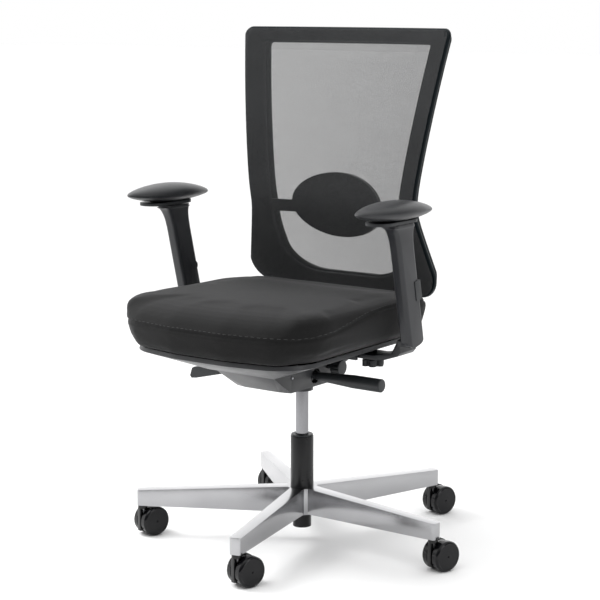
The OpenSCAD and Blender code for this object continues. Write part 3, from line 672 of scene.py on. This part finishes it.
def strand(verts, faces, line, side):
    """A four-sided thread along a line of points; side is its width's direction in x and z."""
    base = len(verts)
    for x, y, z in line:
        for a, b in ((-1, -1), (1, -1), (1, 1), (-1, 1)):
            verts.append((x + side[0] * a * NET_WIDTH / 2, y + b * NET_DEPTH / 2,
                          z + side[1] * a * NET_WIDTH / 2))
    n = len(line)
    for i in range(n - 1):
        o = base + 4 * i
        for k in range(4):
            faces.append((o + k, o + (k + 1) % 4, o + 4 + (k + 1) % 4, o + 4 + k))
    faces.append((base + 3, base + 2, base + 1, base))
    o = base + 4 * (n - 1)
    faces.append((o, o + 1, o + 2, o + 3))


def back_net():
    """The open net over the front frame, thread by thread."""
    verts, faces = [], []
    z_low, z_high = BACK_BOTTOM + NET_MARGIN, BACK_TOP - NET_MARGIN
    rows = int((z_high - z_low) / NET_PITCH)
    for i in range(rows + 1):
        z = z_low + (z_high - z_low) * i / rows
        half = net_half(z)
        across = np.linspace(-half, half, LEVEL_POINTS)
        line = [(x, back_face(x, z) + NET_OFFSET, z) for x in across]
        strand(verts, faces, line, (0, 1))
    reach = max(net_half(z) for z in np.linspace(z_low, z_high, 200))
    columns = int(2 * reach / NET_PITCH)
    heights = np.linspace(z_low, z_high, UPRIGHT_POINTS)
    for i in range(columns + 1):
        x = -reach + 2 * reach * i / columns
        line = []
        # The closing None ends the last run, as a height outside the net does.
        for z in [*heights, None]:
            if z is not None and abs(x) <= net_half(z):
                line.append((x, back_face(x, z) + NET_OFFSET + WEAVE_OFFSET, z))
                continue
            if len(line) > 1:
                strand(verts, faces, line, (1, 0))
            line = []
    obj = new_mesh("back_net", verts, faces, "mesh_fabric")
    obj.data.shade_flat()
    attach(obj, "back")
    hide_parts("back_mesh")


# ---------------------------------------------------------------- studio


def smooth_range(nodes, links, source, start, end, low, high):
    """The output of a node that takes start..end smoothly to low..high."""
    node = nodes.new("ShaderNodeMapRange")
    node.interpolation_type = "SMOOTHSTEP"
    ends = {"From Min": start, "From Max": end, "To Min": low, "To Max": high}
    for socket, value in ends.items():
        node.inputs[socket].default_value = value
    links.new(source, node.inputs["Value"])
    return node.outputs["Result"]


def studio_world():
    """White to the camera; as light, bright behind the chair and dim on the camera's side."""
    world = bpy.data.worlds.new("studio")
    bpy.context.scene.world = world
    world.use_nodes = True
    nodes, links = world.node_tree.nodes, world.node_tree.links
    dome = nodes["Background"]
    dome.inputs["Color"].default_value = (1, 1, 1, 1)
    way = nodes.new("ShaderNodeTexCoord").outputs["Generated"]
    behind = nodes.new("ShaderNodeVectorMath")
    behind.operation = "DOT_PRODUCT"
    behind.inputs[1].default_value = (-0.80, 0.60, 0.0)
    links.new(way, behind.inputs[0])
    around = smooth_range(nodes, links, behind.outputs["Value"], -0.7, 0.9, 0.12, 1.7)
    split = nodes.new("ShaderNodeSeparateXYZ")
    links.new(way, split.inputs[0])
    overhead = smooth_range(nodes, links, split.outputs["Z"], 0.25, 0.95, 0.0, 1.0)
    level = nodes.new("ShaderNodeMix")
    links.new(overhead, level.inputs["Factor"])
    links.new(around, level.inputs["A"])
    level.inputs["B"].default_value = 1.25
    links.new(level.outputs["Result"], dome.inputs["Strength"])
    white = nodes.new("ShaderNodeBackground")
    white.inputs["Color"].default_value = (1, 1, 1, 1)
    white.inputs["Strength"].default_value = 1.0
    mix = nodes.new("ShaderNodeMixShader")
    links.new(nodes.new("ShaderNodeLightPath").outputs["Is Camera Ray"], mix.inputs["Fac"])
    links.new(dome.outputs["Background"], mix.inputs[1])
    links.new(white.outputs["Background"], mix.inputs[2])
    links.new(mix.outputs["Shader"], nodes["World Output"].inputs["Surface"])


def area_light(name, place, target, size, power):
    """A rectangular lamp that faces a target; its size is (width, height)."""
    light = bpy.data.lights.new(name, "AREA")
    light.shape = "RECTANGLE"
    light.size, light.size_y = size
    light.energy = power
    obj = bpy.data.objects.new(name, light)
    bpy.context.scene.collection.objects.link(obj)
    obj.location = place
    obj.rotation_euler = (Vector(target) - Vector(place)).to_track_quat("-Z", "Y").to_euler()


def studio():
    """Pale floor, soft lights and the camera at the photograph's angle."""
    studio_world()
    scene = bpy.context.scene
    scene.view_settings.view_transform = "Standard"

    mesh = bpy.data.meshes.new("floor")
    half = 30
    corners = [(-half, -half, 0), (half, -half, 0), (half, half, 0), (-half, half, 0)]
    mesh.from_pydata(corners, [], [(0, 1, 2, 3)])
    floor = bpy.data.objects.new("floor", mesh)
    scene.collection.objects.link(floor)
    paint = Shader("floor_paint", (0.95, 0.95, 0.95), 0.95, Specular_IOR_Level=0.1)
    patches = paint.ramp(paint.noise(3, 3), (0.94, 0.94, 0.94), (0.96, 0.96, 0.96))
    paint.drive("Base Color", patches)
    mesh.materials.append(paint.mat)

    area_light("key", (-0.6, -1.4, 3.0), (0, 0, 0.6), (2.0, 2.0), 30)
    area_light("side", (3.2, -0.4, 1.6), (0, 0, 0.6), (1.2, 2.2), 22)
    area_light("left", (-1.5, -0.7, 1.9), (0, -0.1, 0.5), (0.9, 0.9), 26)

    camera = bpy.data.cameras.new("camera")
    camera.sensor_width = 36
    camera.lens = 105.3
    obj = bpy.data.objects.new("camera", camera)
    scene.collection.objects.link(obj)
    obj.location = (2.172, -2.983, 1.162)
    obj.rotation_euler = (math.radians(80.25), 0, math.radians(36.13))
    scene.camera = obj


finish_cad_nodes()
seat_cushion()
arm_pad("left")
arm_pad("right")
back_net()
studio()
